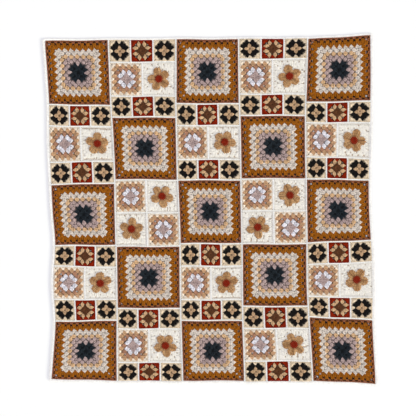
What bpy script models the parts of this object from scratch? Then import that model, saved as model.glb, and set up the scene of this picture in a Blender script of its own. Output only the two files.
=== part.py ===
"""A crocheted patchwork blanket that lies flat, seen from above with its top edge at +Y.

Five columns of squares in three sizes are joined by raised seams and edged by a border
round. Odd columns run large, block, large, block, large. Even columns run block, large,
four medium squares, large, block. A block is a strip of three small squares, a pair of
medium squares and another strip. Each large square, each pair and each strip is one
solid, cut through at the corner spaces of its rounds, with the flowers raised on top.
"""

import math

import bmesh
import bpy
from mathutils import Matrix, Vector

MM = 0.001

# Thicknesses and widths, in millimetres
PANEL_THICK = 4.0
SEAM_THICK = 5.0
SEAM_WIDTH = 6.0
CLEARANCE = 0.3
RIM = 2.2
BORDER_SIDE = 7.4
BORDER_TOP = 3.4
BORDER_BOTTOM = 6.6
BORDER_CORNER = 9.0
RIPPLE = 0.9
RIPPLE_TURNS = 1.2

# Corner spaces that are wide enough to see through, as shares of a square's half width
LARGE_HOLES = (0.77, 0.87)
LARGE_HOLE_SIZE = 7.4
MEDIUM_HOLES = (0.52,)
MEDIUM_HOLE_SIZE = 5.6

# The raised flower, in millimetres
PETALS = 5
PETAL_MIDDLE = 27.5
PETAL_HALF_LENGTH = 15.0
PETAL_HALF_WIDTH = 14.2
PETAL_HEIGHT = 2.5
HEART_RADIUS = 11.5
HEART_HEIGHT = 2.0
FLOWER_SINK = 0.4

# The seams between the squares inside a row, raised on its cloth, in millimetres
BAR_SUNK = 2.0
BAR_SHORT = 0.8

# Hand-made sizes: the height of a level, then the column edges' distance from the middle, mm
COLUMN_EDGES = (
    # level, left, 1|2, 2|3, 3|4, 4|5, right
    (612, -594, -366, -123, 103, 351, 577),
    (497, -586, -361, -123, 104, 348, 578),
    (382, -579, -357, -123, 106, 344, 577),
    (245, -578, -349, -120, 109, 344, 575),
    (108, -572, -343, -117, 111, 346, 571),
    (-7, -566, -341, -112, 113, 347, 573),
    (-126, -557, -338, -108, 115, 349, 580),
    (-263, -564, -336, -107, 116, 350, 585),
    (-396, -556, -334, -105, 118, 356, 584),
    (-504, -562, -334, -102, 122, 363, 589),
    (-612, -570, -333, -99, 125, 369, 595),
)
# Heights of the lines between the rows of each column, from the top down, mm
ROW_LINES = (
    (610, 377, 301, 174, 95, -128, -204, -322, -398, -611),
    (612, 532, 410, 335, 108, -10, -130, -355, -428, -548, -614),
    (614, 382, 304, 182, 109, -121, -202, -323, -397, -614),
    (616, 543, 417, 341, 112, -3, -121, -347, -426, -543, -616),
    (622, 389, 314, 189, 111, -114, -192, -313, -389, -619),
)
# How much higher the right end of each line is than its left end, mm
ROW_TILTS = (
    (2, -4, -3, 4, 5, 0, -5, 0, 4, -6),
    (2, 2, 0, 0, -2, 0, 0, 0, 0, 0, -2),
    (0, 0, 0, 0, 0, 0, 0, 0, 0, 0),
    (2, 2, 0, 0, 0, 0, 0, 0, 0, 0, 0),
    (14, 5, 0, -7, -4, 9, 9, -4, -10, -11),
)
ROW_KINDS = {
    10: "large strip pair strip large strip pair strip large".split(),
    11: "strip pair strip large pair turned large strip pair strip".split(),
}
# How far each flower is turned clockwise from upright, down each column, degrees
FLOWER_TURNS = ((0, 0), (-14, 33, 4, 34), (27, 0), (-18, -22, 31, -20), (15, 32))
# Where the seams inside a row cross it, as shares of its width
SPLITS = {"large": (), "strip": (0.325, 0.66), "pair": (0.495,), "turned": (0.495,)}
STEPS_ALONG = 3

COLOURS = {
    "large": (0.42, 0.16, 0.03),
    "strip": (0.36, 0.03, 0.015),
    "pair": (0.80, 0.75, 0.66),
    "white": (0.85, 0.83, 0.79),
}
ROUGHNESS = 0.9


def smooth_between(before, start, end, after, share):
    """A Catmull-Rom value between start and end."""
    slope_in = (end - before) / 2
    slope_out = (after - start) / 2
    square = share * share
    cube = square * share
    return (
        (2 * cube - 3 * square + 1) * start
        + (cube - 2 * square + share) * slope_in
        + (3 * square - 2 * cube) * end
        + (cube - square) * slope_out
    )


def edge_x(edge, y):
    """How far right a column edge lies at a height, where edge 0 is the blanket's left side."""
    last = len(COLUMN_EDGES) - 2
    row = 0
    while row < last and y < COLUMN_EDGES[row + 1][0]:
        row += 1
    upper, lower = COLUMN_EDGES[row], COLUMN_EDGES[row + 1]
    share = (upper[0] - y) / (upper[0] - lower[0])
    before = COLUMN_EDGES[max(row - 1, 0)][edge + 1]
    after = COLUMN_EDGES[min(row + 2, last + 1)][edge + 1]
    return smooth_between(before, upper[edge + 1], lower[edge + 1], after, share)


def line_y(column, line, across):
    """The height of a row line, across from 0 at its left end to 1 at its right end."""
    ripple = RIPPLE * math.sin(math.tau * RIPPLE_TURNS * across + line + 0.5)
    return ROW_LINES[column][line] + ROW_TILTS[column][line] * (across - 0.5) + ripple


def place(column, row, across, down):
    """A point of a column's row, with across and down from 0 to 1."""
    top = line_y(column, row, across)
    bottom = line_y(column, row + 1, across)
    y = top + (bottom - top) * down
    left = edge_x(column, y)
    return Vector((left + (edge_x(column + 1, y) - left) * across, y))


def row_size(column, row):
    """A row's mean width and height."""
    middle = place(column, row, 0.5, 0.5).y
    width = edge_x(column + 1, middle) - edge_x(column, middle)
    return width, ROW_LINES[column][row] - ROW_LINES[column][row + 1]


def row_outline(column, row, gap):
    """The outline of a row's cloth, gap away from the seams and the border."""
    width, height = row_size(column, row)
    half_seam = SEAM_WIDTH / 2
    last_row = len(ROW_LINES[column]) - 2
    left = (gap + (half_seam if column > 0 else 0)) / width
    right = 1 - (gap + (half_seam if column < len(ROW_LINES) - 1 else 0)) / width
    top = (gap + (half_seam if row > 0 else 0)) / height
    bottom = 1 - (gap + (half_seam if row < last_row else 0)) / height
    corners = ((left, top), (right, top), (right, bottom), (left, bottom))
    points = []
    for start, end in zip(corners, corners[1:] + corners[:1]):
        for step in range(STEPS_ALONG):
            share = step / STEPS_ALONG
            across = start[0] + (end[0] - start[0]) * share
            down = start[1] + (end[1] - start[1]) * share
            points.append(place(column, row, across, down))
    return points


def blanket_outline(side, top, bottom, corner):
    """The outline of all the columns, set outwards, clockwise from the top left."""
    columns = len(ROW_LINES)
    upper, lower = [], []
    for column in range(columns):
        for across in (0.04, 0.5, 0.96):
            last = len(ROW_LINES[column]) - 1
            high = line_y(column, 0, across)
            low = line_y(column, last, across)
            for points, y in ((upper, high), (lower, low)):
                left = edge_x(column, y)
                points.append(Vector((left + (edge_x(column + 1, y) - left) * across, y)))
    upper = [point + Vector((0, top)) for point in upper]
    lower = [point - Vector((0, bottom)) for point in lower]
    right_corners = corner_points(columns, upper[-1].y, lower[-1].y, side, corner)
    left_corners = corner_points(0, upper[0].y, lower[0].y, -side, corner)
    right_side = side_points(columns, side)
    left_side = side_points(0, -side)
    return (
        upper
        + right_corners[0]
        + right_side
        + right_corners[1]
        + lower[::-1]
        + left_corners[1][::-1]
        + left_side[::-1]
        + left_corners[0][::-1]
    )


def side_points(edge, outwards):
    """Points down one side of the blanket, between its corners."""
    levels = [row[0] for row in COLUMN_EDGES[1:-1]]
    between = [(a + b) / 2 for a, b in zip(levels, levels[1:])]
    heights = sorted(levels + between, reverse=True)
    return [Vector((edge_x(edge, y) + outwards, y)) for y in heights]


def corner_points(edge, high, low, outwards, corner):
    """Each corner on one side: a sharp point, or two points with the corner cut between."""
    inwards = -math.copysign(1, outwards)
    result = []
    for y, step in ((high, -1), (low, 1)):
        tip = Vector((edge_x(edge, y) + outwards, y))
        if corner > 0:
            cut = [tip + Vector((inwards * corner, 0)), tip + Vector((0, step * corner))]
            middle = tip + Vector((inwards, step)) * corner * (1 - math.sqrt(0.5))
            points = [cut[0], middle, cut[1]]
        else:
            points = [tip]
        result.append(points if step < 0 else points[::-1])
    return result


def diamond(centre, size):
    """A square hole that stands on its corner, across its flats."""
    reach = size / math.sqrt(2)
    steps = ((0, reach), (reach, 0), (0, -reach), (-reach, 0))
    return [centre + Vector(step) for step in steps]


def corner_holes(column, row, across_range, shares, size):
    """The corner spaces of one square, which fills part of its row from left to right."""
    start, end = across_range
    middle, half = (start + end) / 2, (end - start) / 2
    holes = []
    for share in shares:
        for way_across in (-share, share):
            for way_down in (-share, share):
                across = middle + half * way_across
                down = 0.5 + 0.5 * way_down
                holes.append(diamond(place(column, row, across, down), size))
    return holes


def material_for(name):
    material = bpy.data.materials.get(name)
    if material is None:
        material = bpy.data.materials.new(name)
        material.use_nodes = True
        shader = material.node_tree.nodes["Principled BSDF"]
        shader.inputs["Base Color"].default_value = (*COLOURS[name], 1)
        shader.inputs["Roughness"].default_value = ROUGHNESS
        shader.inputs["Metallic"].default_value = 0
    return material


def flat_piece(name, outlines, thick, colour, centre):
    """A flat closed sheet on the floor, filled between its first outline and the others."""
    curve = bpy.data.curves.new(name, "CURVE")
    curve.dimensions = "2D"
    curve.fill_mode = "BOTH"
    curve.extrude = thick / 2 * MM
    for outline in outlines:
        spline = curve.splines.new("POLY")
        spline.points.add(len(outline) - 1)
        for point, place_at in zip(spline.points, outline):
            flat = (place_at - centre) * MM
            point.co = (flat.x, flat.y, 0, 1)
        spline.use_cyclic_u = True
    guide = bpy.data.objects.new(name, curve)
    bpy.context.scene.collection.objects.link(guide)
    graph = bpy.context.evaluated_depsgraph_get()
    mesh = bpy.data.meshes.new_from_object(guide.evaluated_get(graph))
    bpy.data.objects.remove(guide)
    form = bmesh.new()
    form.from_mesh(mesh)
    bmesh.ops.remove_doubles(form, verts=form.verts, dist=0.00001)
    bmesh.ops.recalc_face_normals(form, faces=form.faces)
    form.to_mesh(mesh)
    form.free()
    mesh.materials.clear()
    mesh.materials.append(material_for(colour))
    piece = bpy.data.objects.new(name, mesh)
    piece.location.z = thick / 2 * MM
    return piece


def add_flower(form, middle, turn):
    """Five low petals round a low heart, all just sunk into the cloth below."""
    base = Matrix.Translation(Vector((middle.x, middle.y, PANEL_THICK - FLOWER_SINK)) * MM)
    heart = scaled(HEART_RADIUS, HEART_RADIUS, HEART_HEIGHT + FLOWER_SINK)
    bmesh.ops.create_uvsphere(form, u_segments=8, v_segments=4, radius=1, matrix=base @ heart)
    petal_form = scaled(PETAL_HALF_WIDTH, PETAL_HALF_LENGTH, PETAL_HEIGHT + FLOWER_SINK)
    out = Matrix.Translation(Vector((0, PETAL_MIDDLE, 0)) * MM)
    for petal in range(PETALS):
        swing = Matrix.Rotation(-math.radians(turn + 360 / PETALS * petal), 4, "Z")
        matrix = base @ swing @ out @ petal_form
        bmesh.ops.create_uvsphere(form, u_segments=8, v_segments=4, radius=1, matrix=matrix)


def add_bar(form, upper, lower):
    """A raised seam from one edge of the cloth to the other."""
    along = lower - upper
    middle = (upper + lower) / 2
    height = SEAM_THICK - BAR_SUNK
    place_at = Matrix.Translation(Vector((middle.x, middle.y, BAR_SUNK + height / 2)) * MM)
    swing = Matrix.Rotation(math.atan2(along.x, -along.y), 4, "Z")
    size = scaled(SEAM_WIDTH, along.length - 2 * BAR_SHORT, height)
    bmesh.ops.create_cube(form, size=1, matrix=place_at @ swing @ size)


def scaled(x, y, z):
    """A matrix that gives a unit shape its size in millimetres."""
    return Matrix.Diagonal((x * MM, y * MM, z * MM, 1))


def guide_object(name, form):
    """A hidden object that a modifier reads."""
    mesh = bpy.data.meshes.new(name)
    form.to_mesh(mesh)
    form.free()
    guide = bpy.data.objects.new(name, mesh)
    guide.hide_render = True
    guide.display_type = "WIRE"
    return guide


def raise_relief(piece, relief):
    joined = piece.modifiers.new("raised relief", "BOOLEAN")
    joined.operation = "UNION"
    joined.solver = "EXACT"
    joined.object = relief


def row_relief(column, row, kind, bloom, turn, centre):
    """What stands up from a row's cloth: the seams inside it, and its flower."""
    form = bmesh.new()
    height = row_size(column, row)[1]
    inset = (SEAM_WIDTH / 2 + CLEARANCE) / height
    for split in SPLITS[kind]:
        upper = place(column, row, split, inset) - centre
        lower = place(column, row, split, 1 - inset) - centre
        add_bar(form, upper, lower)
    if kind != "strip":
        add_flower(form, place(column, row, sum(bloom) / 2, 0.5) - centre, turn)
    return guide_object(f"relief_{column + 1}_{row + 1}", form)


def build_rows(collection, cutters, centre):
    """The cloth of every row of every column."""
    for column, lines in enumerate(ROW_LINES):
        turns = list(FLOWER_TURNS[column])
        for row, kind in enumerate(ROW_KINDS[len(lines)]):
            outlines = [row_outline(column, row, CLEARANCE)]
            granny, bloom = (0, SPLITS["pair"][0]), (SPLITS["pair"][0], 1)
            if kind == "turned":
                granny, bloom = bloom, granny
            if kind == "large":
                outlines += corner_holes(column, row, (0, 1), LARGE_HOLES, LARGE_HOLE_SIZE)
            elif kind != "strip":
                outlines += corner_holes(column, row, granny, MEDIUM_HOLES, MEDIUM_HOLE_SIZE)
            plain_kind = "pair" if kind == "turned" else kind
            name = f"{plain_kind}_{column + 1}_{row + 1}"
            piece = flat_piece(name, outlines, PANEL_THICK, plain_kind, centre)
            collection.objects.link(piece)
            if kind != "large":
                turn = 0 if kind == "strip" else turns.pop(0)
                relief = row_relief(column, row, kind, bloom, turn, centre)
                cutters.objects.link(relief)
                raise_relief(piece, relief)


def build_seams(collection, centre):
    """The joining seams, one net with a window for each row, and a narrow foot all round."""
    outlines = [blanket_outline(RIM, RIM, RIM, 0)]
    for column, lines in enumerate(ROW_LINES):
        for row in range(len(lines) - 1):
            outlines.append(row_outline(column, row, 0))
    collection.objects.link(flat_piece("seams", outlines, SEAM_THICK, "white", centre))


def build_border(collection, centre):
    inner = blanket_outline(RIM + CLEARANCE, RIM + CLEARANCE, RIM + CLEARANCE, 0)
    outlines = [border_outline(), inner]
    collection.objects.link(flat_piece("border", outlines, SEAM_THICK, "white", centre))


def border_outline():
    foot = RIM + CLEARANCE
    return blanket_outline(
        foot + BORDER_SIDE, foot + BORDER_TOP, foot + BORDER_BOTTOM, BORDER_CORNER
    )


def middle_of(points):
    xs = [point.x for point in points]
    ys = [point.y for point in points]
    return Vector(((min(xs) + max(xs)) / 2, (min(ys) + max(ys)) / 2))


def main():
    for thing in list(bpy.data.objects):
        bpy.data.objects.remove(thing)
    collection = bpy.data.collections.new("crochet blanket")
    cutters = bpy.data.collections.new("cutters")
    bpy.context.scene.collection.children.link(collection)
    bpy.context.scene.collection.children.link(cutters)
    centre = middle_of(border_outline())
    build_rows(collection, cutters, centre)
    build_seams(collection, centre)
    build_border(collection, centre)


main()
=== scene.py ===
"""The looks of a crocheted patchwork blanket that lies flat, seen from straight above.

Each panel of the frame gets a thin cloth, ring by ring in darker tones of its rounds'
colours, which is painted shade where it shows between the stitches, and its stitches over
that: clusters of three posts worked round by round, petals, raised seams and a border.
Lengths are in millimetres until a point is put into a mesh.
"""

import math

import bpy
import numpy as np
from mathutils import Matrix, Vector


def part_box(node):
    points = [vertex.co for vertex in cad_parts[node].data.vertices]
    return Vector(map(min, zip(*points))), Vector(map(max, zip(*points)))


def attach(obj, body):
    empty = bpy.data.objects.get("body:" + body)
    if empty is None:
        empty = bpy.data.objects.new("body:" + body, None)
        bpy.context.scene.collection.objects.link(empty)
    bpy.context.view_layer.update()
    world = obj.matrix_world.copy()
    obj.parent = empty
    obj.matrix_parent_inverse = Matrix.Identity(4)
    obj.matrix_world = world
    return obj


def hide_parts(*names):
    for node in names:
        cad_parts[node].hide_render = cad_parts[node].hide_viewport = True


MM = 0.001
SEED = 7

# The patchwork's layout, as in the frame: widths and the hand-made outline, in millimetres
SEAM_WIDTH = 6.0
CLEARANCE = 0.3
RIM = 2.2
BORDER_SIDE = 7.4
BORDER_TOP = 3.4
BORDER_BOTTOM = 6.6
RIPPLE = 0.9
RIPPLE_TURNS = 1.2
RIPPLE_START = 0.5
COLUMN_EDGES = np.array((
    # level, left, 1|2, 2|3, 3|4, 4|5, right
    (612, -594, -366, -123, 103, 351, 577),
    (497, -586, -361, -123, 104, 348, 578),
    (382, -579, -357, -123, 106, 344, 577),
    (245, -578, -349, -120, 109, 344, 575),
    (108, -572, -343, -117, 111, 346, 571),
    (-7, -566, -341, -112, 113, 347, 573),
    (-126, -557, -338, -108, 115, 349, 580),
    (-263, -564, -336, -107, 116, 350, 585),
    (-396, -556, -334, -105, 118, 356, 584),
    (-504, -562, -334, -102, 122, 363, 589),
    (-612, -570, -333, -99, 125, 369, 595),
), float)
# The heights of the lines between each column's rows, from the top down, and how much
# higher each is at its right end
ROW_LINES = (
    (610, 377, 301, 174, 95, -128, -204, -322, -398, -611),
    (612, 532, 410, 335, 108, -10, -130, -355, -428, -548, -614),
    (614, 382, 304, 182, 109, -121, -202, -323, -397, -614),
    (616, 543, 417, 341, 112, -3, -121, -347, -426, -543, -616),
    (622, 389, 314, 189, 111, -114, -192, -313, -389, -619),
)
ROW_TILTS = (
    (2, -4, -3, 4, 5, 0, -5, 0, 4, -6),
    (2, 2, 0, 0, -2, 0, 0, 0, 0, 0, -2),
    (0, 0, 0, 0, 0, 0, 0, 0, 0, 0),
    (2, 2, 0, 0, 0, 0, 0, 0, 0, 0, 0),
    (14, 5, 0, -7, -4, 9, 9, -4, -10, -11),
)
# A column's kinds of row, from the top down, by its number of lines
ROW_KINDS = {
    10: "large strip pair strip large strip pair strip large".split(),
    11: "strip pair strip large pair turned large strip pair strip".split(),
}
# The column and row of the middle square
MIDDLE_ROW = (2, 4)
# How far each column's flowers are turned, clockwise in degrees, from the top down
FLOWER_TURNS = ((0, 0), (-14, 33, 4, 34), (27, 0), (-18, -22, 31, -20), (15, 32))
# Where a row is split into squares, as shares of its width, and the squares from the left
SPLITS = {"large": (), "strip": (0.325, 0.66), "pair": (0.495,), "turned": (0.495,)}
SQUARES = {
    "large": ("large",),
    "strip": ("black", "red", "black"),
    "pair": ("granny", "flower"),
    "turned": ("flower", "granny"),
}

# Yarn colours, as red, green and blue from 0 to 255
YARNS = {
    "mustard": (161, 95, 18),
    "brown": (150, 93, 64),
    "cream": (223, 211, 201),
    "peach": (220, 182, 142),
    "mauve": (186, 163, 160),
    "slate": (34, 41, 48),
    "rose": (180, 134, 108),
    "tan": (206, 165, 128),
    "straw": (212, 174, 134),
    "sand": (194, 160, 126),
    "bright": (235, 232, 240),
    "pale": (240, 226, 209),
    "beige": (227, 207, 180),
    "black": (22, 19, 19),
    "umber": (92, 56, 34),
    "rust": (138, 32, 0),
    "camel": (174, 131, 89),
    "honey": (192, 151, 108),
    "heart": (130, 34, 12),
    "ivory": (232, 227, 220),
    "white": (250, 248, 246),
}
# Painted shade: how much of a yarn's light the thin cloth under its stitches gives back,
# as one share or as a share of its red, green and blue, so that the gaps read as shaded
CLOTH_SHADE = 0.26
CLOTH_SHADE_OWN = {
    "mustard": 0.5,
    "brown": 0.1,
    "cream": 0.34,
    "peach": 0.2,
    "mauve": 0.27,
    "rose": 0.16,
    "straw": 0.12,
    "bright": 0.3,
    "pale": 0.28,
    "beige": 0.2,
    "umber": 0.2,
    "camel": 0.45,
    "ivory": (0.54, 0.43, 0.36),
    "white": 0.8,
}
# How strong a yarn's uneven dye and the painted shade and highlight along its plies are,
# where it isn't 1
DYE_AND_SHADE_STRENGTH = {"ivory": 0.35, "white": 0.35}

# One post of a cluster, from its foot to its head
POST_SHARES = np.array((0.0, 0.38, 0.62, 1.0))
POST_WIDTHS = np.array((2.4, 5.2, 5.2, 2.6))
POST_HEIGHTS = np.array((2.2, 3.6, 3.8, 2.6))
POST_LEVELS = np.array((1.8, 2.3, 2.8, 3.2))

# How many sides a stitch has, and one of a flower
SIDES = 4
PETAL_SIDES = 6

# The yarn's twist: how long a turn is, in millimetres, and how many plies it has
PLY_LENGTH = 4.2
PLIES = 2
# Its looks: the shine, the twist, the fine fibres and the uneven dye, how much darker and
# lighter the dye gets, the painted shade in the groove between the plies and the painted
# highlight on their crests, and the relief
YARN_SHADER = {
    "Roughness": 0.9,
    "Sheen Weight": 0.02,
    "Sheen Roughness": 0.5,
    "Specular IOR Level": 0.1,
}
TWIST_WAVE = {"Scale": math.tau / 20, "Distortion": 0.6}
FIBRE_NOISE = {"Scale": 1400, "Detail": 2}
DYE_NOISE = {"Scale": 130, "Detail": 2}
DYE_RANGE = {"From Min": 0.3, "From Max": 0.7}
DYE_TONES = (-0.24, 0.2)
PLY_SHADE_TONES = (-0.2, 0.08)
FIBRE_RELIEF = 0.35
YARN_BUMP = {"Strength": 0.6, "Distance": 0.6 * MM}

# The forms of a cluster: how far its outer posts stand from its middle, from foot to head,
# as shares of the pitch, how much later they start and sooner they end, in millimetres,
# and its posts
CLUSTER_PITCH = 21.0
FANS = {
    # name: (spreads, late, soon, posts)
    "leaf": ((0.03, 0.25, 0.26, 0.04), 1.0, 1.4, 3),
    "tip": ((0.03, 0.30, 0.19, 0.01), 1.0, 2.2, 3),
    "slim": ((0.04, 0.20, 0.22, 0.04), 1.0, 1.4, 3),
    "flare": ((0.03, 0.26, 0.33, 0.29), 1.0, 0.0, 3),
    "open": ((0.08, 0.16, 0.20, 0.24), 0.0, 0.0, 3),
    "lobe": ((0.03, 0.26, 0.22, 0.02), 1.0, 1.8, 3),
    "wing": ((0.05, 0.25, 0.26, 0.06), 1.0, 1.4, 3),
    "bud": ((0.03, 0.17, 0.20, 0.03), 1.0, 2.2, 3),
    "star": ((0.10, 0.17, 0.17, 0.05), 0.0, 1.4, 3),
    "cross": ((0.16, 0.30, 0.26, 0.04), 0.0, 2.0, 3),
    "diamond": ((0.02, 0.18, 0.34, 0.48), 0.0, 9.7, 5),
    "spike": ((0.03, 0.09, 0.14, 0.22), 0.0, 1.0, 2),
    "wedge": ((0.02, 0.12, 0.20, 0.30), 0.0, 0.0, 3),
}
# How far a cluster's head leans back, as a share of the pitch, and how it takes that up
LEANS = {"large": 0.06, "granny": 0.13, "black": 0.04, "red": 0.05}
LEAN_COURSE = np.array((0.4, 0.1, -0.1, -0.8))

# The post on each diagonal of a round: its course from foot to head, how low it lies and
# how much wider it is
CORNER_SHARES = (0.1, 0.28, 0.42, 0.56)
CORNER_DROP = 0.5
CORNER_WIDER = 1.0

# How uneven the hand's work is: each square's middle, as shares of its half width and in
# radians, each cluster and each post, in millimetres, and the size of a post
SHIFT = 0.011
TWIST = 0.018
UNEVEN = {"large": 1.0, "granny": 1.5, "flower": 1.5, "black": 2.2, "red": 2.2}
CLUSTER_DRIFT = 0.6
POST_DRIFT = 0.3
POST_UNEVEN = 0.06

# The rounds of a large square, as shares of its half width: the pitch of the clusters, the
# inner end of the first round's ring, and how wide each ring is. A cluster starts a foot's
# length into the ring before its own, though not before the least foot, and ends a little
# past its own ring
LARGE_PITCH = 0.1915
LARGE_FIRST = 0.09
LARGE_STEP = 0.095
LARGE_FOOT = 0.046
LARGE_LEAST_FOOT = 0.02
LARGE_PAST = 0.008
LARGE_YARNS = "slate slate mauve mauve peach cream cream mustard mustard".split()
LARGE_FANS = "cross tip slim slim leaf leaf tip flare open".split()
# By a round's place: how much further in its clusters start, how much further out those
# beside the corners start, and how much further out the whole round ends
LARGE_DEEPER = {2: 0.035, 7: 0.045}
LARGE_LATER = {2: 0.03}
LARGE_HIGHER = {1: 0.025, 8: -0.025}
# The place of the first round whose diagonals may stay open, and the share of diagonals
# that a post closes from there on. The rounds between it and the first are all closed
LARGE_CLOSED = 7
LARGE_SHUT = 0.65

# The rounds of the smaller squares: where a side's clusters stand, foot, head, form and
# yarn, as shares of the square's half width
ROUNDS = {
    "granny": (
        ((0.0,), -0.03, 0.42, "cross", "mauve"),
        ((-0.185, 0.185), 0.21, 0.57, "wing", "bright"),
        ((-0.38, 0.0, 0.38), 0.41, 0.75, "slim", "rose"),
        ((-0.57, -0.19, 0.19, 0.57), 0.60, 0.96, "leaf", "tan"),
    ),
    "black": (
        ((0.0,), 0.045, 0.54, "star", "sand"),
        ((-0.27, 0.27), 0.26, 0.94, "lobe", "black"),
    ),
    "red": (
        ((0.0,), 0.02, 0.58, "diamond", "umber"),
        ((-0.27, 0.27), 0.29, 0.90, "bud", "straw"),
    ),
}
# The edge round: where a side's long stitches reach down between the clusters, their foot
# and form, its yarn, and their head and how much higher they lie
LARGE_SPIKES = tuple(LARGE_PITCH * (step - 4.5) for step in range(10))
EDGES = {
    "large": (LARGE_SPIKES, 0.9, "spike", "brown"),
    "granny": ((-0.76, -0.38, 0.0, 0.38, 0.76), 0.79, "wedge", "pale"),
    "black": ((-0.66, 0.0, 0.66), 0.66, "wedge", "beige"),
    "red": ((-0.66, 0.0, 0.66), 0.66, "wedge", "rust"),
}
EDGE_HEAD = 0.985
EDGE_LIFT = 0.2
# The short slanting stitches along a square's edge: their pitch, the course of one along
# the edge, as shares of that, and outwards, its levels and its size
EDGE_PITCH = 6.0
EDGE_COURSE = np.array((-0.15, 0.45, 1.15))
EDGE_OUT = np.array((-1.6, 0.3, 0.9))
EDGE_LEVELS = np.array((2.2, 2.9, 2.0))
EDGE_WIDTHS = np.array((2.8, 4.1, 2.6))
EDGE_HEIGHTS = np.array((2.6, 3.4, 2.6))
EDGE_DRIFT = 0.2
# How far in they lie, at the top and bottom and at the sides, and how much less on some
EDGE_INSETS = (1.6, 1.9)
EDGE_FULLER = {"red": 0.7}

# A braid of V stitches: the course of a leg along it, as shares of the pitch, and across
# it, as shares of its width, its levels beside the braid's, and its size
BRAID_COURSE = np.array((-0.1, 0.5, 1.25))
BRAID_SPREADS = np.array((0.36, 0.29, 0.07))
BRAID_RISE = np.array((-0.7, 0.3, -0.3))
BRAID_WIDTHS = np.array((0.36, 0.56, 0.4))
BRAID_HEIGHTS = np.array((2.4, 3.0, 2.4))
# The seams: the height and level of the core, the pitch and level of the braid on it, and
# the braid's width, also inside a pair, where the seam draws in less
CORE_PITCH = 12.0
SEAM_CORE_HEIGHT = 3.6
SEAM_CORE_LEVEL = 2.1
SEAM_BRAID_PITCH = 6.2
SEAM_BRAID_LEVEL = 3.6
SEAM_BRAID_WIDTH = 4.5
PAIR_BRAID_WIDTH = 5.7
# How many points a seam between columns has, one between rows and one inside a row
SEAM_POINTS = (120, 24, 12)

# The border's posts: how many, how far in they start, and their course, levels and size
BORDER_POSTS = 900
BORDER_TUCK = 1.0
BORDER_COURSE = np.array((0.0, 0.5, 0.92))
BORDER_LEVELS = (2.4, 2.5, 1.7)
BORDER_WIDTHS = np.array((4.4, 5.6, 4.6))
BORDER_HEIGHTS = np.array((3.2, 4.0, 3.0))
# The rim on them: how far in it lies, at the sides, top and bottom, the width, height and
# level of its core, and the width, pitch and level of its braid
RIM_INSETS = (2.0, 1.6, 2.0)
RIM_CORE = (3.4, 2.4, 1.5)
RIM_BRAID = (4.6, 5.6, 2.2)
# How much wider the core at the border's foot is than the rim of the seams' net
FOOT_WIDER = 0.8

# Corner spaces left open: where they lie on a diagonal, as shares of the half width, their
# half size as such a share, and the least and most that the stitches keep away from their
# middles, in millimetres
CORNERS = ((-1, 1), (1, 1), (1, -1), (-1, -1))
OPEN_CORNERS = {"large": (0.77, 0.87), "granny": (0.52,), "red": (0.58,)}
OPEN_HALF = {"large": 3.0 / 112, "granny": 3.0 / 55, "red": 1.4 / 36}
OPEN_REACH = {"large": (-1.5, 4.2), "granny": (1.2, 3.4), "red": (0.4, 2.2)}
# A line between two rings of the cloth gives way to a corner space that is nearer than
# this, in half sizes of the space
CLEAR_OF_CORNER = 1.6
# The slits in the cloth of a large square, left and right: where one lies and how far up
# and down it runs. All round, from a slit's inner side to the shade's end, the cloth is
# painted shade in a near-black slate tone, for the shadowed gaps between the clusters
SLIT = (0.85, 0.869)
SLIT_END = 0.75
SHADE_END = 0.9
# The cloth's level and thickness
CLOTH_LEVEL = 2.0
CLOTH_THICKNESS = 1.0

# The ground under a flower: the rounds' foot and head, as shares of the half width, and
# the stitches' pitch, course, level, size and drift as a whole and point by point
GROUND_ROUNDS = ((0.30, 0.53), (0.44, 0.71), (0.62, 0.88), (0.79, 0.98))
GROUND_PITCH = 5.2
GROUND_COURSE = np.array((0.0, 0.5, 1.0))
GROUND_LEVEL = 2.7
GROUND_WIDTHS = np.array((5.6, 7.4, 5.8))
GROUND_HEIGHTS = np.array((1.2, 1.4, 1.2))
GROUND_DRIFT = 0.8
GROUND_BEND = 0.5
# The small holes in it where a stitch is skipped, where the cloth's painted shade shows as
# specks: how many stitches apart they may lie, and the share of them that are there
HOLE_STEP = 4
HOLE_SHARE = 0.65

# The raised flower's petals: how far the outer stitches swing out, in radians, where a
# petal starts and how far its round end reaches, and the share of paler stitches
PETALS = 5
PETAL_STITCHES = 9
PETAL_SWING = 1.85
PETAL_FOOT = 8.5
PETAL_MIDDLE = 27.5
PETAL_HALF_LENGTH = 14.5
PETAL_HALF_WIDTH = 14.4
PETAL_DRIFT = 0.05
PETAL_END_DRIFT = 0.5
PETAL_PALER = 0.45
# A petal's stitch from the heart outwards: its course, how narrow the petal is at its
# foot and how it widens, its levels, how much lower the outer ones lie, and its size
PETAL_COURSE = np.array((0.0, 0.3, 0.65, 0.9, 1.0))
PETAL_NECK = 0.26
PETAL_FLARE = 0.7
PETAL_LEVELS = np.array((4.5, 4.9, 5.2, 4.8, 4.0))
PETAL_CROWN = 0.5
PETAL_WIDTHS = np.array((1.6, 2.6, 4.5, 5.6, 4.2))
PETAL_HEIGHTS = np.array((2.6, 3.2, 3.4, 3.0, 2.0))
# The dark core under a petal, painted shade between its stitches: how much shorter it is, its
# level, and its size
CORE_SHORTER = 3.0
CORE_LEVEL = 4.0
CORE_WIDTHS = PETAL_HALF_WIDTH * np.array((0.8, 1.4, 1.9, 1.6, 1.1))
CORE_HEIGHT = 1.6

# The flower's heart: its rings of stitches, and one stitch's slant and size
HEART_RINGS = (
    # stitches, inner end, outer end, outer level, inner level
    (14, 5.0, 14.6, 5.5, 6.2),
    (7, 0.8, 6.6, 5.8, 6.5),
)
HEART_COURSE = np.array((0.0, 0.5, 1.0))
HEART_SLANT = 0.9
HEART_WIDTHS = np.array((3.0, 4.6, 4.0))
HEART_HEIGHT = 2.8

# How finely the border's line is drawn: points to a row's end and to a side, their pitch
# when evenly spaced, and how many are averaged
LINE_POINTS = (16, 100)
LINE_PITCH = 3.0
LINE_WINDOW = 5

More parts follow.
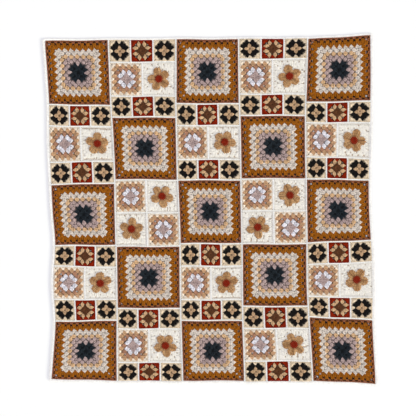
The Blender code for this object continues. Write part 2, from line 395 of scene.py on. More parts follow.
# The camera and the photographed field, in millimetres
FIELD = 1498.0
VIEW_MIDDLE = (-7.8, 6.55)
CAMERA_HEIGHT = 4000.0

# The floor: how far it reaches, in metres, and its looks
FLOOR_REACH = 40.0
FLOOR_SHADER = {"Base Color": (0.885, 0.885, 0.885, 1), "Roughness": 0.8}

# The lights: watts a square metre, then the height, the turn from the bottom edge and the
# width in degrees. They are even everywhere, so their distance in metres has no effect
LIGHT_DISTANCE = 2.0
LIGHTS = {
    # name: (strength, height, turn, spread, tint)
    "key_light": (2.55, 16.0, 62.0, 14.0, (1.0, 1.0, 0.75)),
    "fill_light": (0.62, 24.0, 242.0, 24.0, (1.0, 1.0, 0.6)),
}
SKY = {"Color": (0.905, 0.905, 1.0, 1), "Strength": 0.915}

# The least length that is divided by
LEAST = 1e-9


def linear(colour):
    """A colour in linear light, from red, green and blue between 0 and 255."""
    shares = np.array(colour) / 255
    return np.where(shares <= 0.04045, shares / 12.92, ((shares + 0.055) / 1.055) ** 2.4)


def smooth_between(before, start, end, after, share):
    """A Catmull-Rom value between start and end."""
    slope_in = (end - before) / 2
    slope_out = (after - start) / 2
    square = share * share
    cube = square * share
    return (
        (2 * cube - 3 * square + 1) * start
        + (cube - 2 * square + share) * slope_in
        + (3 * square - 2 * cube) * end
        + (cube - square) * slope_out
    )


def edge_x(edge, y):
    """How far right a column edge lies at each height, where edge 0 is the left side."""
    levels = COLUMN_EDGES[:, 0]
    places = COLUMN_EDGES[:, edge + 1]
    last = len(levels) - 2
    row = np.clip(np.searchsorted(-levels, -np.asarray(y), side="left") - 1, 0, last)
    share = (levels[row] - y) / (levels[row] - levels[row + 1])
    before = places[np.maximum(row - 1, 0)]
    after = places[np.minimum(row + 2, last + 1)]
    return smooth_between(before, places[row], places[row + 1], after, share)


def line_y(column, line, across):
    """The height of a row line, across from 0 at its left end to 1 at its right end."""
    ripple = RIPPLE * np.sin(math.tau * RIPPLE_TURNS * across + line + RIPPLE_START)
    return ROW_LINES[column][line] + ROW_TILTS[column][line] * (across - 0.5) + ripple


def place(column, row, across, down):
    """Points of a column's row, with across and down from 0 to 1."""
    across = np.asarray(across, float)
    top = line_y(column, row, across)
    bottom = line_y(column, row + 1, across)
    y = top + (bottom - top) * down
    left = edge_x(column, y)
    return np.stack((left + (edge_x(column + 1, y) - left) * across, y), axis=-1)


def row_size(column, row):
    """A row's mean width and height."""
    middle = place(column, row, 0.5, 0.5)[1]
    width = edge_x(column + 1, middle) - edge_x(column, middle)
    return width, ROW_LINES[column][row] - ROW_LINES[column][row + 1]


def is_inner(column, row):
    """Whether each side of a row has a seam: left, right, top and bottom."""
    last_row = len(ROW_LINES[column]) - 2
    return column > 0, column < len(ROW_LINES) - 1, row > 0, row < last_row


def row_kind(column, row):
    """What squares a row has."""
    return ROW_KINDS[len(ROW_LINES[column])][row]


def node_kind(column, row):
    """The kind that a row's node is named after, where a turned pair is a pair."""
    kind = row_kind(column, row)
    return "pair" if kind == "turned" else kind


def node_name(column, row):
    """The frame's name for a row's panel."""
    return f"{node_kind(column, row)}_{column + 1}_{row + 1}"


class Square:
    """One square of a row, with x to the right and y up from its middle."""

    def __init__(self, column, row, start, end, kind):
        self.column = column
        self.row = row
        self.kind = kind
        width, height = row_size(column, row)
        left, right, top, bottom = is_inner(column, row)
        half_seam = SEAM_WIDTH / 2
        left_gap = CLEARANCE + half_seam * (left or start > 0)
        right_gap = CLEARANCE + half_seam * (right or end < 1)
        self.across = (start + left_gap / width, end - right_gap / width)
        top_share = (CLEARANCE + half_seam * top) / height
        bottom_share = (CLEARANCE + half_seam * bottom) / height
        self.down = (top_share, 1 - bottom_share)
        self.half_width = (self.across[1] - self.across[0]) * width / 2
        self.half_height = (self.down[1] - self.down[0]) * height / 2
        self.shift = RANDOM.normal(0, SHIFT * UNEVEN[kind], 2)
        self.twist = RANDOM.normal(0, TWIST * UNEVEN[kind])
        self.reaches = {
            (corner, *side): RANDOM.uniform(*OPEN_REACH[kind])
            for corner in OPEN_CORNERS.get(kind, ()) for side in CORNERS
        }

    def shares(self, across, down):
        """Where points of the row lie in this square, from -1 to 1."""
        x = 2 * (across - self.across[0]) / (self.across[1] - self.across[0]) - 1
        y = 1 - 2 * (down - self.down[0]) / (self.down[1] - self.down[0])
        return x, y

    def to_layout(self, points):
        """Layout places of points, from their places in this square."""
        x = points[..., 0] / self.half_width
        y = points[..., 1] / self.half_height
        fade = np.clip(1 - x * x, 0, 1) * np.clip(1 - y * y, 0, 1)
        moved_x = x + fade * (self.shift[0] - self.twist * y)
        moved_y = y + fade * (self.shift[1] + self.twist * x)
        across = self.across[0] + (self.across[1] - self.across[0]) * (moved_x + 1) / 2
        down = self.down[0] + (self.down[1] - self.down[0]) * (1 - moved_y) / 2
        flat = place(self.column, self.row, across, down)
        return np.concatenate((flat, points[..., 2:]), axis=-1)


def as_laid(points):
    """Layout places of points that are already in the layout."""
    return points


class Work:
    """The stitches of one piece, gathered as closed tubes in several yarns."""

    def __init__(self):
        self.parts = []

    def add(self, to_layout, paths, widths, heights, yarn, sides=SIDES):
        """Adds a tube along each path, where widths and heights are its size at each point."""
        paths = np.asarray(paths, float)
        widths = np.broadcast_to(widths, paths.shape[:2])
        heights = np.broadcast_to(heights, paths.shape[:2])
        along = np.gradient(paths[..., :2], axis=1)
        along /= np.maximum(np.linalg.norm(along, axis=-1, keepdims=True), LEAST)
        left = np.stack((-along[..., 1], along[..., 0]), axis=-1)
        turns = math.tau * np.arange(sides) / sides + math.pi / 2
        rings = np.empty((*paths.shape[:2], sides, 3))
        for side, turn in enumerate(turns):
            rings[:, :, side, :2] = paths[..., :2] + left * (widths * math.cos(turn) / 2)[..., None]
            rings[:, :, side, 2] = paths[..., 2] + heights * math.sin(turn) / 2
        steps = np.linalg.norm(np.diff(paths, axis=1), axis=-1)
        lengths = np.concatenate((np.zeros((len(paths), 1)), np.cumsum(steps, axis=1)), axis=1)
        self.parts.append((to_layout(rings), lengths, yarn))

    def piece(self, name, slot, materials):
        """One object of all the tubes."""
        yarns = sorted({yarn for _, _, yarn in self.parts})
        points, corners, sizes, uvs, slots = [], [], [], [], []
        offset = 0
        for rings, lengths, yarn in self.parts:
            count, length, sides = rings.shape[:3]
            tube_corners, tube_sizes, around = tube_faces(length, sides)
            for tube in range(count):
                corners.append(tube_corners + offset + tube * length * sides)
            sizes.append(np.tile(tube_sizes, count))
            uvs.append(tube_uvs(lengths, around, sides))
            slots.append(np.full(count * len(tube_sizes), yarns.index(yarn)))
            points.append(rings.reshape(-1, 3))
            offset += count * length * sides
        mesh = make_mesh(name, points, corners, sizes)
        layer = mesh.uv_layers.new(name="yarn")
        layer.uv.foreach_set("vector", np.concatenate(uvs).ravel())
        mesh.polygons.foreach_set("material_index", np.concatenate(slots).astype(np.int32))
        for yarn in yarns:
            mesh.materials.append(materials[yarn])
        return add_object(name, mesh, slot)


def tube_faces(length, sides):
    """A tube's faces, as its corners in one row and the size of each face, and where each
    corner lies around the tube and along it."""
    corners, sizes, around = [], [], []
    for ring in range(length - 1):
        for side in range(sides):
            for step_ring, step_side in ((0, 0), (0, 1), (1, 1), (1, 0)):
                corners.append((ring + step_ring) * sides + (side + step_side) % sides)
                around.append((ring + step_ring, side + step_side))
            sizes.append(4)
    for ring, order in ((0, range(sides - 1, -1, -1)), (length - 1, range(sides))):
        for side in order:
            corners.append(ring * sides + side)
            around.append((ring, side))
        sizes.append(sides)
    return np.array(corners), np.array(sizes), np.array(around)


def tube_uvs(lengths, around, sides):
    """The yarn's twist: how far each corner lies along and around the tube."""
    along = lengths[:, around[:, 0]] / PLY_LENGTH
    turn = np.broadcast_to(around[:, 1] / sides * PLIES, along.shape)
    return np.stack((along, turn), axis=-1).reshape(-1, 2)


def make_mesh(name, points, corners, sizes):
    """A smooth mesh, from its points and from the corners and the size of each face."""
    points = (np.concatenate(points) - np.array((*CENTRE, 0))) * MM
    corners = np.concatenate(corners).astype(np.int32)
    sizes = np.concatenate(sizes).astype(np.int32)
    mesh = bpy.data.meshes.new(name)
    mesh.vertices.add(len(points))
    mesh.vertices.foreach_set("co", points.ravel())
    mesh.loops.add(len(corners))
    mesh.loops.foreach_set("vertex_index", corners)
    mesh.polygons.add(len(sizes))
    mesh.polygons.foreach_set("loop_start", np.cumsum(sizes).astype(np.int32) - sizes)
    mesh.polygons.foreach_set("use_smooth", np.ones(len(sizes), bool))
    mesh.update(calc_edges=True)
    return mesh


def add_object(name, mesh, slot):
    """A mesh as an object of the part. The slot argument is not used."""
    piece = bpy.data.objects.new(name, mesh)
    bpy.context.scene.collection.objects.link(piece)
    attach(piece, "root")
    return piece


def set_inputs(node, values):
    """Puts constant values on a node's sockets."""
    for name, value in values.items():
        node.inputs[name].default_value = value


def tone_range(dye_and_shade, tones):
    """The values of a range between a darker and a lighter tone."""
    return {"To Min": 1 + tones[0] * dye_and_shade, "To Max": 1 + tones[1] * dye_and_shade}


def yarn_material(name, colour, dye_and_shade):
    """Soft plied yarn: its twist along each stitch, with painted shade in the grooves between the
    plies and painted highlight on their crests, fine fibres and a slightly uneven dye.
    """
    material = bpy.data.materials.new(name)
    material.use_nodes = True
    nodes = material.node_tree.nodes
    links = material.node_tree.links
    shader = nodes["Principled BSDF"]
    set_inputs(shader, YARN_SHADER)
    spot = nodes.new("ShaderNodeTexCoord")
    twist_map = nodes.new("ShaderNodeUVMap")
    twist_map.uv_map = "yarn"
    twist = nodes.new("ShaderNodeTexWave")
    twist.bands_direction = "DIAGONAL"
    set_inputs(twist, TWIST_WAVE)
    links.new(twist_map.outputs["UV"], twist.inputs["Vector"])
    fibres = nodes.new("ShaderNodeTexNoise")
    set_inputs(fibres, FIBRE_NOISE)
    links.new(spot.outputs["Object"], fibres.inputs["Vector"])
    dye = nodes.new("ShaderNodeTexNoise")
    set_inputs(dye, DYE_NOISE)
    links.new(spot.outputs["Object"], dye.inputs["Vector"])
    tone = nodes.new("ShaderNodeMapRange")
    set_inputs(tone, {**DYE_RANGE, **tone_range(dye_and_shade, DYE_TONES)})
    links.new(dye.outputs["Fac"], tone.inputs["Value"])
    # Painted shade in the grooves between the plies and painted highlight on their crests, along
    # the twist
    ply_shade = nodes.new("ShaderNodeMapRange")
    set_inputs(ply_shade, tone_range(dye_and_shade, PLY_SHADE_TONES))
    links.new(twist.outputs["Fac"], ply_shade.inputs["Value"])
    shade = nodes.new("ShaderNodeMath")
    shade.operation = "MULTIPLY"
    links.new(tone.outputs["Result"], shade.inputs[0])
    links.new(ply_shade.outputs["Result"], shade.inputs[1])
    dyed = nodes.new("ShaderNodeVectorMath")
    dyed.operation = "SCALE"
    dyed.inputs[0].default_value = colour
    links.new(shade.outputs["Value"], dyed.inputs["Scale"])
    links.new(dyed.outputs["Vector"], shader.inputs["Base Color"])
    relief = nodes.new("ShaderNodeMath")
    relief.operation = "MULTIPLY_ADD"
    relief.inputs[1].default_value = FIBRE_RELIEF
    links.new(fibres.outputs["Fac"], relief.inputs[0])
    links.new(twist.outputs["Fac"], relief.inputs[2])
    bump = nodes.new("ShaderNodeBump")
    set_inputs(bump, YARN_BUMP)
    links.new(relief.outputs["Value"], bump.inputs["Height"])
    links.new(bump.outputs["Normal"], shader.inputs["Normal"])
    return material


def make_materials():
    """Every yarn, and for the thin cloth a darker tone of it, painted shade for the gaps between
    the stitches.
    """
    made = {}
    for name, colour in YARNS.items():
        made[name] = yarn_material(f"yarn_{name}", linear(colour), DYE_AND_SHADE_STRENGTH.get(name, 1.0))
        # A darker tone of the yarn: painted shade for the cloth between the stitches
        painted_shade = linear(colour) * np.array(CLOTH_SHADE_OWN.get(name, CLOTH_SHADE))
        made["deep " + name] = yarn_material(f"deep_{name}", painted_shade, 1.0)
    return made


def on_four_sides(paths):
    """Paths worked along the top side, repeated clockwise along all four."""
    x, y, z = (paths[..., axis] for axis in range(3))
    turns = ((x, y), (y, -x), (-x, -y), (-y, x))
    return np.concatenate([np.stack((*turn, z), axis=-1) for turn in turns])


def jitter(shape, size):
    """Seeded unevenness of a size, one number for each place in a shape."""
    return RANDOM.normal(0, size, shape)


def add_clusters(work, square, centres, foot, head, fan, yarn, lift=0.0):
    """A round of clusters: posts that fan out from one foot and close in at the head."""
    half = (square.half_width + square.half_height) / 2
    pitch = CLUSTER_PITCH / half
    spreads, late, soon, posts = FANS[fan]
    centres = np.array(centres)[:, None, None]
    foot = np.broadcast_to(foot, len(centres))[:, None, None]
    sides = np.linspace(-1, 1, posts)[None, :, None]
    lean = LEANS[square.kind] * LEAN_COURSE
    along = centres + pitch * (sides * np.array(spreads) + lean)
    bottom = foot + np.abs(sides) * late / half
    top = head - np.abs(sides) * soon / half
    out = bottom + (top - bottom) * POST_SHARES + 0 * along
    level = POST_LEVELS + lift + 0 * along
    paths = np.stack((along, out, level), axis=-1).reshape(-1, len(POST_SHARES), 3)
    paths = on_four_sides(paths) * np.array((square.half_width, square.half_height, 1))
    drift = jitter((len(paths) // posts, 1, 2), CLUSTER_DRIFT).repeat(posts, axis=0)
    paths[..., :2] += drift + jitter((len(paths), 1, 2), POST_DRIFT)
    keep_open(square, paths)
    sizes = 1 + jitter((len(paths), 1), POST_UNEVEN)
    work.add(square.to_layout, paths, POST_WIDTHS * sizes, POST_HEIGHTS * sizes, yarn)


def add_corner_posts(work, square, foot, head, yarn, shut):
    """A low post on each diagonal, or on a share of them, which closes a round between its
    sides."""
    out = foot + (head - foot) * np.array(CORNER_SHARES)
    paths = on_four_sides(np.stack((out, out, POST_LEVELS - CORNER_DROP), axis=-1)[None])
    paths *= np.array((square.half_width, square.half_height, 1))
    paths[..., :2] += jitter((len(paths), 1, 2), POST_DRIFT)
    paths = paths[RANDOM.random(len(paths)) < shut]
    work.add(square.to_layout, paths, POST_WIDTHS + CORNER_WIDER, POST_HEIGHTS, yarn)


def keep_open(square, paths):
    """Bends stitches round the corner spaces that are left open."""
    for corner in OPEN_CORNERS.get(square.kind, ()):
        for side_x, side_y in CORNERS:
            spot = corner * np.array((side_x * square.half_width, side_y * square.half_height))
            away = paths[..., :2] - spot
            distance = np.maximum(np.linalg.norm(away, axis=-1, keepdims=True), LEAST)
            reach = square.reaches[corner, side_x, side_y]
            paths[..., :2] += away / distance * np.clip(reach - distance, 0, None)


def add_edge(work, square, yarn):
    """A row of short slanting stitches along all four edges of a square."""
    halves = (square.half_width, square.half_height)
    for turn in range(4):
        reach = halves[turn % 2] - EDGE_INSETS[1]
        count = round(2 * reach / EDGE_PITCH)
        starts = (np.arange(count) / count - 0.5) * 2 * reach
        along = starts[:, None] + 2 * reach / count * EDGE_COURSE
        rim = halves[1 - turn % 2] - EDGE_INSETS[turn % 2] + EDGE_FULLER.get(square.kind, 0)
        out = rim + EDGE_OUT + 0 * along
        level = EDGE_LEVELS + 0 * along
        paths = on_four_sides(np.stack((along, out, level), axis=-1))[turn * count:][:count]
        paths[..., :2] += jitter((count, 1, 2), EDGE_DRIFT)
        work.add(square.to_layout, paths, EDGE_WIDTHS, EDGE_HEIGHTS, yarn)


def add_granny(work, square):
    """A granny square: its rounds, the long stitches of the edge round, and the edge."""
    if square.kind == "large":
        for index, yarn in enumerate(LARGE_YARNS):
            clusters = index + 1
            centres = LARGE_PITCH * (np.arange(clusters) - index / 2)
            head = LARGE_FIRST + LARGE_STEP * clusters + LARGE_PAST + LARGE_HIGHER.get(index, 0)
            at_corner = np.isclose(abs(centres), centres[-1])
            later = np.where(at_corner, LARGE_LATER.get(index, 0), -LARGE_DEEPER.get(index, 0))
            foot = large_foot(index) + later
            add_clusters(work, square, centres, foot, head, LARGE_FANS[index], yarn)
            if index > 0:
                shut = 1 if index < LARGE_CLOSED else LARGE_SHUT
                add_corner_posts(work, square, large_foot(index), head, yarn, shut)
    else:
        for centres, foot, head, fan, yarn in ROUNDS[square.kind]:
            add_clusters(work, square, centres, foot, head, fan, yarn)
    centres, foot, fan, yarn = EDGES[square.kind]
    add_clusters(work, square, centres, foot, EDGE_HEAD, fan, yarn, EDGE_LIFT)
    add_edge(work, square, yarn)


def add_flower_square(work, square, turn):
    """An ivory ground worked in rounds, and a flower of long stitches on it."""
    half = square.half_width
    for foot, head in GROUND_ROUNDS:
        count = round(2 * head * half / GROUND_PITCH)
        along = (np.arange(count) - (count - 1) / 2)[:, None] * 2 * head / count
        along = along * np.ones(len(GROUND_COURSE))
        out = foot + (head - foot) * GROUND_COURSE + 0 * along
        paths = np.stack((along * half, out * half, GROUND_LEVEL + 0 * along), axis=-1)
        paths = on_four_sides(paths)
        drift = jitter((len(paths), 1, 2), GROUND_DRIFT)
        paths[..., :2] += drift + jitter((*paths.shape[:2], 2), GROUND_BEND)
        holes = np.arange(len(paths)) % HOLE_STEP == 1
        holes &= RANDOM.random(len(paths)) < HOLE_SHARE
        work.add(square.to_layout, paths[~holes], GROUND_WIDTHS, GROUND_HEIGHTS, "ivory")
    add_edge(work, square, "ivory")
    for petal in range(PETALS):
        add_petal(work, square, turn + 360 / PETALS * petal)
    add_heart(work, square)


def swung(paths, degrees):
    """Paths turned clockwise round the square's middle."""
    turn = math.radians(degrees)
    x = paths[..., 0] * math.cos(turn) + paths[..., 1] * math.sin(turn)
    y = paths[..., 1] * math.cos(turn) - paths[..., 0] * math.sin(turn)
    return np.stack((x, y, paths[..., 2]), axis=-1)


def add_petal(work, square, degrees):
    """One petal: long stitches that fan out from the heart to a round end."""
    swing = np.linspace(-PETAL_SWING, PETAL_SWING, PETAL_STITCHES)[:, None]
    size = 1 + jitter(2, PETAL_DRIFT)
    degrees += math.degrees(jitter(1, PETAL_DRIFT)[0])
    end_along = PETAL_HALF_WIDTH * size[0] * np.sin(swing)
    end_along += jitter(swing.shape, PETAL_END_DRIFT)
    end_out = PETAL_MIDDLE + PETAL_HALF_LENGTH * size[1] * np.cos(swing)
    end_out += jitter(swing.shape, PETAL_END_DRIFT)
    along = end_along * (PETAL_NECK + (1 - PETAL_NECK) * PETAL_COURSE**PETAL_FLARE)
    out = PETAL_FOOT + (end_out - PETAL_FOOT) * PETAL_COURSE
    level = PETAL_LEVELS - PETAL_CROWN * np.sin(swing) ** 2
    paths = swung(np.stack((along, out, level), axis=-1), degrees)
    paler = RANDOM.random(PETAL_STITCHES) < PETAL_PALER
    for yarn, chosen in (("camel", ~paler), ("honey", paler)):
        work.add(
            square.to_layout, paths[chosen], PETAL_WIDTHS, PETAL_HEIGHTS, yarn, PETAL_SIDES
        )
    # A core in a darker camel under the petal: painted shade between its stitches
    end = PETAL_MIDDLE + PETAL_HALF_LENGTH - CORE_SHORTER
    out = PETAL_FOOT + (end - PETAL_FOOT) * PETAL_COURSE
    path = np.stack((0 * out, out, np.full(len(out), CORE_LEVEL)), axis=-1)[None]
    work.add(square.to_layout, swung(path, degrees), CORE_WIDTHS, CORE_HEIGHT, "deep camel")


def add_heart(work, square):
    """The flower's heart, domed rings of short stitches."""
    for count, inner, outer, low, high in HEART_RINGS:
        out = inner + (outer - inner) * HEART_COURSE
        level = high + (low - high) * HEART_COURSE**2
        path = np.stack((HEART_SLANT * (HEART_COURSE - 0.5), out, level), axis=-1)
        paths = np.concatenate([swung(path[None], 360 * k / count) for k in range(count)])
        work.add(square.to_layout, paths, HEART_WIDTHS, HEART_HEIGHT, "heart", PETAL_SIDES)


def spaced(points, count):
    """The ends of a number of even steps along a line."""
    steps = np.linalg.norm(np.diff(points, axis=0), axis=1)
    lengths = np.concatenate(((0,), np.cumsum(steps)))
    marks = np.linspace(0, lengths[-1], count + 1)
    return np.stack([np.interp(marks, lengths, points[:, axis]) for axis in range(2)], axis=-1)


def resampled(points, pitch):
    """Evenly spaced points along a line, about a pitch apart."""
    length = np.cumsum(np.linalg.norm(np.diff(points, axis=0), axis=1))[-1]
    return spaced(points, max(round(length / pitch), 2))


def add_braid(work, points, width, pitch, level):
    """A raised braid of V stitches along a line."""
    spots = resampled(points, pitch)
    step = spots[1:] - spots[:-1]
    left = np.stack((-step[:, 1], step[:, 0]), axis=-1)
    left /= np.linalg.norm(left, axis=1, keepdims=True)
    share = BRAID_COURSE[None, :, None]
    for side in (-1, 1):
        offset = side * width * BRAID_SPREADS[None, :, None]
        flat = spots[:-1, None, :] + step[:, None, :] * share + left[:, None, :] * offset
        levels = np.broadcast_to(level + BRAID_RISE, flat.shape[:2])
        paths = np.concatenate((flat, levels[..., None]), axis=-1)
        work.add(as_laid, paths, BRAID_WIDTHS * width, BRAID_HEIGHTS, "white")


def add_cord(work, points, width, height, level):
    """The core under a braid, one tube along a line."""
    spots = resampled(points, CORE_PITCH)
    levels = np.full((len(spots), 1), level)
    path = np.concatenate((spots, levels), axis=1)[None]
    work.add(as_laid, path, width, height, "white")


def add_seam(work, points, width=SEAM_BRAID_WIDTH):
    """A raised seam: a round core and a braid on it."""
    add_cord(work, points, SEAM_WIDTH, SEAM_CORE_HEIGHT, SEAM_CORE_LEVEL)
    add_braid(work, points, width, SEAM_BRAID_PITCH, SEAM_BRAID_LEVEL)


def breaks_of(kind):
    """The lines that part a square's cloth into rings, as shares of its half size."""
    marks = [radius for radius, _ in yarn_changes(kind)]
    for corner in OPEN_CORNERS.get(kind, ()):
        reach = OPEN_HALF[kind]
        marks = [mark for mark in marks if abs(mark - corner) >= CLEAR_OF_CORNER * reach]
        marks += [corner - reach, corner + reach]
    if kind == "large":
        marks += [SLIT_END, *SLIT, SHADE_END]
    marks = sorted(marks)
    return np.array([-1.0] + [-mark for mark in marks[::-1]] + [0.0] + marks + [1.0])


def yarn_changes(kind):
    """Where the cloth's yarn changes, going outwards, and the yarn from there on."""
    if kind == "flower":
        return []
    if kind == "large":
        rounds = [(large_foot(index), yarn) for index, yarn in enumerate(LARGE_YARNS)]
    else:
        rounds = [(foot, yarn) for _, foot, _, _, yarn in ROUNDS[kind]]
    rounds.append((EDGES[kind][1], EDGES[kind][3]))
    return [after for before, after in zip(rounds, rounds[1:]) if after[1] != before[1]]


def ring_yarn(kind, radius):
    """The yarn of the round that a place in a square lies in."""
    if kind == "flower":
        return "ivory"
    yarn = LARGE_YARNS[0] if kind == "large" else ROUNDS[kind][0][-1]
    for start, after in yarn_changes(kind):
        if radius > start:
            yarn = after
    return yarn


def large_foot(index):
    """Where a round of a large square starts, as a share of its half width."""
    return max(LARGE_FIRST + LARGE_STEP * (index - 1) + LARGE_FOOT, LARGE_LEAST_FOOT)


def is_open(square, x, y):
    """Whether a place in a square lies in a corner space that is left open."""
    for corner in OPEN_CORNERS.get(square.kind, ()):
        if max(abs(abs(x) - corner), abs(abs(y) - corner)) < OPEN_HALF[square.kind]:
            return True
    return square.kind == "large" and SLIT[0] < abs(x) < SLIT[1] and abs(y) < SLIT_END


def add_cloth(column, row, squares, materials):
    """The thin cloth under a row's stitches, in dark tones that are painted shade between the
    stitches, with its corner spaces open.
    """
    name = node_name(column, row)
    kinds = [square.kind for square in squares]
    across = cloth_lines([square.across for square in squares], kinds)
    down = cloth_lines([square.down for square in squares], kinds)
    flat = place(column, row, *np.meshgrid(across, down))
    points = np.concatenate((flat, np.full((*flat.shape[:2], 1), CLOTH_LEVEL)), axis=-1)
    yarns, corners, slots = [], [], []
    for j, (top, bottom) in enumerate(zip(down, down[1:])):
        for i, (left, right) in enumerate(zip(across, across[1:])):
            middle = ((left + right) / 2, (top + bottom) / 2)
            yarn = cloth_yarn(squares, *middle)
            if yarn is None:
                continue
            if yarn not in yarns:
                yarns.append(yarn)
            first = j * len(across) + i
            corners.append((first + len(across), first + len(across) + 1, first + 1, first))
            slots.append(yarns.index(yarn))
    corners = np.array(corners)
    sizes = np.full(len(corners), 4)
    mesh = make_mesh(name + "_cloth", [points.reshape(-1, 3)], [corners.ravel()], [sizes])
    mesh.uv_layers.new(name="yarn")
    mesh.polygons.foreach_set("material_index", np.array(slots, np.int32))
    for yarn in yarns:
        # The cloth's darker tones are painted shade between the stitches
        mesh.materials.append(materials["deep " + yarn])
    piece = add_object(name + "_cloth", mesh, node_kind(column, row))
    shell = piece.modifiers.new("thickness", "SOLIDIFY")
    shell.thickness = CLOTH_THICKNESS * MM
    shell.offset = 0
    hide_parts(name)
    return piece


def cloth_lines(spans, kinds):
    """The lines that part a row's cloth one way, from its squares' spans that way."""
    lines = {
        round(float(start + (end - start) * (mark + 1) / 2), 5)
        for (start, end), kind in zip(spans, kinds) for mark in breaks_of(kind)
    }
    return sorted(lines)


def cloth_yarn(squares, across, down):
    """The yarn of a row's cloth at a place, or None in an open corner space."""
    for square in squares:
        x, y = square.shares(across, down)
        if abs(x) <= 1 and abs(y) <= 1:
            if is_open(square, x, y):
                return None
            radius = max(abs(x), abs(y))
            # Painted shade: this band of a large square's cloth is deep slate, for the dark
            # shadowed gaps between clusters
            if square.kind == "large" and SLIT[0] < radius < SHADE_END:
                return "slate"
            return ring_yarn(square.kind, radius)
    return "white"


def build_row(column, row, turns, materials):
    """One row's cloth and stitches."""
    kind = row_kind(column, row)
    name = node_name(column, row)
    cuts = (0, *SPLITS[kind], 1)
    squares = [
        Square(column, row, start, end, square_kind)
        for start, end, square_kind in zip(cuts, cuts[1:], SQUARES[kind])
    ]
    work = Work()
    for square in squares:
        if square.kind == "flower":
            add_flower_square(work, square, turns.pop(0))
        else:
            add_granny(work, square)
    inset = (SEAM_WIDTH / 2) / row_size(column, row)[1]
    marks = np.linspace(inset, 1 - inset, SEAM_POINTS[2])
    width = SEAM_BRAID_WIDTH if kind == "strip" else PAIR_BRAID_WIDTH
    for split in SPLITS[kind]:
        add_seam(work, place(column, row, np.full(len(marks), split), marks), width)
    stitches = work.piece(name + "_stitches", node_kind(column, row), materials)
    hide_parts(name)
    cloth = add_cloth(column, row, squares, materials)


def seam_lines():
    """The lines of all the seams between rows and columns."""
    lines = []
    half_seam = SEAM_WIDTH / 2
    for edge in range(1, len(ROW_LINES)):
        top = line_y(edge, 0, 0.0)
        bottom = line_y(edge, len(ROW_LINES[edge]) - 1, 0.0)
        y = np.linspace(top, bottom, SEAM_POINTS[0])
        lines.append(np.stack((edge_x(edge, y), y), axis=-1))
    for column, levels in enumerate(ROW_LINES):
        for line in range(1, len(levels) - 1):
            share = np.linspace(0, 1, SEAM_POINTS[1])
            y = line_y(column, line, share)
            left = edge_x(column, y) + half_seam * (column > 0)
            right = edge_x(column + 1, y) - half_seam * (column < len(ROW_LINES) - 1)
            lines.append(np.stack((left + (right - left) * share, y), axis=-1))
    return lines


def perimeter(side, top, bottom, count):
    """Evenly spaced points round the blanket, set outwards, clockwise from the top left."""
    share = np.linspace(0, 1, LINE_POINTS[0])
    upper, lower = [], []
    for column, levels in enumerate(ROW_LINES):
        for line, points, step in ((0, upper, top), (len(levels) - 1, lower, -bottom)):
            y = line_y(column, line, share)
            left, right = edge_x(column, y), edge_x(column + 1, y)
            points.append(np.stack((left + (right - left) * share, y + step), axis=-1))
    upper, lower = np.concatenate(upper), np.concatenate(lower)
    upper[0, 0] -= side
    lower[0, 0] -= side
    upper[-1, 0] += side
    lower[-1, 0] += side
    y = np.linspace(upper[-1, 1], lower[-1, 1], LINE_POINTS[1])[1:-1]
    right_side = np.stack((edge_x(len(ROW_LINES), y) + side, y), axis=-1)
    y = np.linspace(lower[0, 1], upper[0, 1], LINE_POINTS[1])[1:-1]
    left_side = np.stack((edge_x(0, y) - side, y), axis=-1)
    line = np.concatenate((upper, right_side, lower[::-1], left_side, upper[:1]))
    spots = resampled(line, LINE_PITCH)[:-1]
    ends = LINE_WINDOW // 2
    window = np.ones(LINE_WINDOW) / LINE_WINDOW
    looped = np.concatenate((spots[-ends:], spots, spots[:ends]))
    spots = np.stack([np.convolve(looped[:, axis], window, "valid") for axis in range(2)], axis=-1)
    return spaced(np.concatenate((spots, spots[:1])), count)


def build_seams(materials):
    """The net of raised seams, and the narrow foot of the border all round."""
    work = Work()
    for line in seam_lines():
        add_seam(work, line)
    foot = perimeter(RIM / 2, RIM / 2, RIM / 2, BORDER_POSTS)
    add_cord(work, foot, RIM + FOOT_WIDER, SEAM_CORE_HEIGHT, SEAM_CORE_LEVEL)
    seams = work.piece("seams_stitches", "white", materials)
    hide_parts("seams")


def build_border(materials):
    """The border: a round of posts that point outwards, and a braid along its rim."""
    work = Work()
    foot = RIM + CLEARANCE
    reaches = foot + np.array((BORDER_SIDE, BORDER_TOP, BORDER_BOTTOM))
    inner = perimeter(*np.full(3, foot - BORDER_TUCK), BORDER_POSTS)[:-1]
    outer = perimeter(*reaches, BORDER_POSTS)[:-1]
    flat = inner[:, None, :] + (outer - inner)[:, None, :] * BORDER_COURSE[None, :, None]
    levels = np.broadcast_to(BORDER_LEVELS, flat.shape[:2])[..., None]
    paths = np.concatenate((flat, levels), axis=-1)
    work.add(as_laid, paths, BORDER_WIDTHS, BORDER_HEIGHTS, "white")
    rim = perimeter(*(reaches - RIM_INSETS), BORDER_POSTS)
    add_cord(work, rim, *RIM_CORE)
    add_braid(work, rim, *RIM_BRAID)
    border = work.piece("border_stitches", "white", materials)
    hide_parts("border")


def layout_centre():
    """The layout's place of the frame's origin, from the box of the middle panel."""
    square = Square(*MIDDLE_ROW, 0, 1, "large")
    low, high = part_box(node_name(*MIDDLE_ROW))
    ends = np.linspace(-1, 1, 4)
    rim = [(a, b, 0) for a in ends for b in (-1, 1)] + [(a, b, 0) for a in (-1, 1) for b in ends]
    points = square.to_layout(np.array(rim) * (square.half_width, square.half_height, 1))
    middle = (points.min(axis=0) + points.max(axis=0)) / 2
    return middle[:2] - np.array(((low.x + high.x) / 2, (low.y + high.y) / 2)) / MM


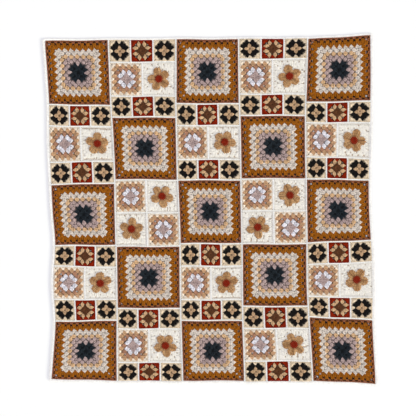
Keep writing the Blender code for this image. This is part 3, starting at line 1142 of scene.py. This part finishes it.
def build_stage():
    """A pale floor, soft light from above and the camera straight over the blanket."""
    mesh = bpy.data.meshes.new("floor")
    corners = [(x * FLOOR_REACH, y * FLOOR_REACH, 0) for x, y in CORNERS[::-1]]
    mesh.from_pydata(corners, [], [(0, 1, 2, 3)])
    floor = bpy.data.objects.new("floor", mesh)
    bpy.context.scene.collection.objects.link(floor)
    paint = bpy.data.materials.new("floor_paint")
    paint.use_nodes = True
    set_inputs(paint.node_tree.nodes["Principled BSDF"], FLOOR_SHADER)
    mesh.materials.append(paint)
    for name, settings in LIGHTS.items():
        add_light(name, *settings)
    world = bpy.data.worlds.new("studio")
    world.use_nodes = True
    set_inputs(world.node_tree.nodes["Background"], SKY)
    bpy.context.scene.world = world
    bpy.context.scene.view_settings.view_transform = "Standard"
    camera = bpy.data.cameras.new("camera")
    camera.type = "PERSP"
    camera.angle = 2 * math.atan(FIELD / 2 / CAMERA_HEIGHT)
    stand = bpy.data.objects.new("camera", camera)
    stand.location = (VIEW_MIDDLE[0] * MM, VIEW_MIDDLE[1] * MM, CAMERA_HEIGHT * MM)
    bpy.context.scene.collection.objects.link(stand)
    bpy.context.scene.camera = stand


def add_light(name, strength, height, turn, spread, tint):
    """A wide soft light, even over the whole blanket."""
    lamp = bpy.data.lights.new(name, "SUN")
    lamp.energy = strength
    lamp.color = tint
    lamp.angle = math.radians(spread)
    stand = bpy.data.objects.new(name, lamp)
    angle = math.radians(turn)
    stand.rotation_euler = (math.radians(90 - height), 0, angle)
    stand.location = (math.sin(angle), -math.cos(angle), 1)
    stand.location *= LIGHT_DISTANCE
    bpy.context.scene.collection.objects.link(stand)


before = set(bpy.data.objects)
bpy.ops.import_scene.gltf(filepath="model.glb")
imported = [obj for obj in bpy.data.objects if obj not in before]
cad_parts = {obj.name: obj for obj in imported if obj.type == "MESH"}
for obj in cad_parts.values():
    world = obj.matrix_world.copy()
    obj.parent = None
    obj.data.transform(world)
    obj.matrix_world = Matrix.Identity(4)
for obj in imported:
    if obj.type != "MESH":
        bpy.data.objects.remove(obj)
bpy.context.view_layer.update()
RANDOM = np.random.default_rng(SEED)
CENTRE = layout_centre()
build_stage()
yarns = make_materials()
for column, lines in enumerate(ROW_LINES):
    turns = list(FLOWER_TURNS[column])
    for row in range(len(lines) - 1):
        build_row(column, row, turns, yarns)
build_seams(yarns)
build_border(yarns)
bpy.context.view_layer.update()
